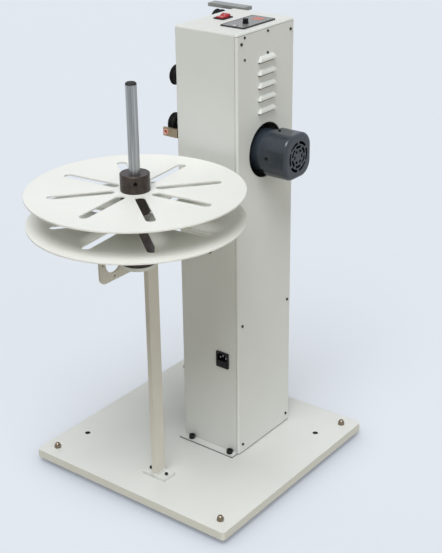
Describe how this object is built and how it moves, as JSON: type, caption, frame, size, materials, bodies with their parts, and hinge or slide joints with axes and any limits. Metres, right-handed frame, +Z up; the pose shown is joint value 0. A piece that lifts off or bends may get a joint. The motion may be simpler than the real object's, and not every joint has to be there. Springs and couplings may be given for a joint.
{
  "type": "wire pay-off machine",
  "caption": "Wire pay-off machine: a sheet column with a feed motor, guide pulleys and dancer arm beside a level slotted reel on a post, all on a square footed base.",
  "frame": {"origin": "floor level under the middle of the machine's outline, the reel included", "axes": "+Z up, -Y towards the reel, +X towards the motor's fan cover, the wire runs along the -X face"},
  "size_m": [0.5034, 0.6894, 0.9335],
  "materials": {
    "cream_paint": "satin powder coat",
    "disc_paint": "satin powder coat",
    "bright_steel": "turned",
    "brown_steel": "browned",
    "black_steel": "black oxide",
    "plated_steel": "zinc plated",
    "zinc_steel": "yellow zinc",
    "motor_paint": "semi-gloss enamel",
    "grey_metal": "satin",
    "bare_aluminium": "machined",
    "black_plastic": "fine texture",
    "dark_plastic": "fine texture",
    "face_film": "satin film",
    "red_plastic": "glossy",
    "white_plastic": "glossy",
    "ceramic": "glazed",
    "brass_pins": "bright",
    "board_green": "solder mask",
    "black_rubber": "moulded"
  },
  "bodies": {
    "frame": {"base_plate": "cream_paint", "rubber_feet": "black_rubber", "foot_studs": "plated_steel", "cap_nuts": "plated_steel", "column_shell": "cream_paint", "side_cover": "cream_paint", "panel_screws": "black_steel", "column_bolts": "black_steel", "switch_bezel": "black_plastic", "controller_body": "dark_plastic", "controller_face": "face_film", "inlet_body": "black_plastic", "inlet_pins": "bright_steel", "control_board": "board_green", "board_standoffs": "brass_pins", "gearbox": "motor_paint", "gearbox_bolts": "black_steel", "motor_body": "motor_paint", "fan_cover": "motor_paint", "fan_cover_screws": "black_steel", "guide_axles": "bright_steel", "eyelet_bar": "zinc_steel", "eyelet": "ceramic", "keeper_pin": "bright_steel", "exit_bracket": "grey_metal", "exit_screws": "black_steel", "dancer_housing": "black_steel", "stop_pegs": "black_rubber", "angle_sensor": "dark_plastic", "post": "cream_paint", "post_foot": "cream_paint", "bearing_seat": "cream_paint", "post_screws": "black_steel", "bearing_housing": "brown_steel", "spindle_bearings": "bright_steel"},
    "reel": {"spindle": "bright_steel", "lower_hub": "brown_steel", "lower_disc": "disc_paint", "stop_collar": "brown_steel", "stop_screw": "black_steel"},
    "top_flange": {"upper_disc": "disc_paint", "clamp_collar": "brown_steel", "clamp_screw": "black_steel"},
    "drive_wheel": {"output_shaft": "bright_steel", "drive_hub": "bare_aluminium", "drive_tyre": "black_rubber"},
    "rotor": {"rotor_shaft": "bright_steel", "cooling_fan": "black_plastic"},
    "entry_roller": {"entry_pulley": "black_plastic"},
    "rise_roller": {"rise_pulley": "black_plastic"},
    "exit_roller": {"exit_pulley": "black_plastic"},
    "dancer": {"dancer_shaft": "bright_steel", "dancer_arm": "bare_aluminium", "dancer_axle": "bright_steel"},
    "dancer_roller": {"dancer_pulley": "black_plastic"},
    "rocker": {"switch_rocker": "red_plastic"},
    "knob": {"speed_knob": "black_plastic"},
    "slider": {"run_slider": "white_plastic"},
    "fuse_holder": {"fuse_drawer": "black_plastic"}
  },
  "joints": [
    {"name": "reel_spin", "type": "hinge", "parent": "frame", "child": "reel", "pos_m": [0.05425, -0.14725, 0.617], "axis": [0, 0, 1], "continuous": true},
    {"name": "flange_lift", "type": "slide", "parent": "reel", "child": "top_flange", "axis": [0, 0, 1], "range_m": [0, 0.16]},
    {"name": "drive_spin", "type": "hinge", "parent": "frame", "child": "drive_wheel", "pos_m": [-0.06375, 0.17275, 0.663], "axis": [1, 0, 0], "continuous": true},
    {"name": "fan_spin", "type": "hinge", "parent": "frame", "child": "rotor", "pos_m": [0.15825, 0.17275, 0.681], "axis": [1, 0, 0], "continuous": true},
    {"name": "entry_spin", "type": "hinge", "parent": "frame", "child": "entry_roller", "pos_m": [-0.06375, 0.11375, 0.719], "axis": [1, 0, 0], "continuous": true},
    {"name": "rise_spin", "type": "hinge", "parent": "frame", "child": "rise_roller", "pos_m": [-0.06375, 0.12275, 0.813], "axis": [1, 0, 0], "continuous": true},
    {"name": "exit_spin", "type": "hinge", "parent": "frame", "child": "exit_roller", "pos_m": [-0.06375, 0.25475, 0.898], "axis": [1, 0, 0], "continuous": true},
    {"name": "dancer_swing", "type": "hinge", "parent": "frame", "child": "dancer", "pos_m": [-0.05175, 0.20425, 0.48], "axis": [1, 0, 0], "range_deg": [0, 90]},
    {"name": "dancer_roller_spin", "type": "hinge", "parent": "dancer", "child": "dancer_roller", "pos_m": [-0.06375, 0.31896, 0.31617], "axis": [1, 0, 0], "continuous": true},
    {"name": "power_rocker", "type": "hinge", "parent": "frame", "child": "rocker", "pos_m": [0.00425, 0.17925, 0.923], "axis": [1, 0, 0], "range_deg": [-18, 0]},
    {"name": "speed_turn", "type": "hinge", "parent": "frame", "child": "knob", "pos_m": [0.07375, 0.15675, 0.9245], "axis": [0, 0, 1], "range_deg": [-150, 150]},
    {"name": "run_slide", "type": "slide", "parent": "frame", "child": "slider", "axis": [1, 0, 0], "range_m": [0, 0.004]},
    {"name": "fuse_pull", "type": "slide", "parent": "frame", "child": "fuse_holder", "axis": [0, -1, 0], "range_m": [0, 0.018]}
  ],
  "couplings": [
    {"joint": "fan_spin", "follows": "drive_spin", "ratio": 10}
  ]
}
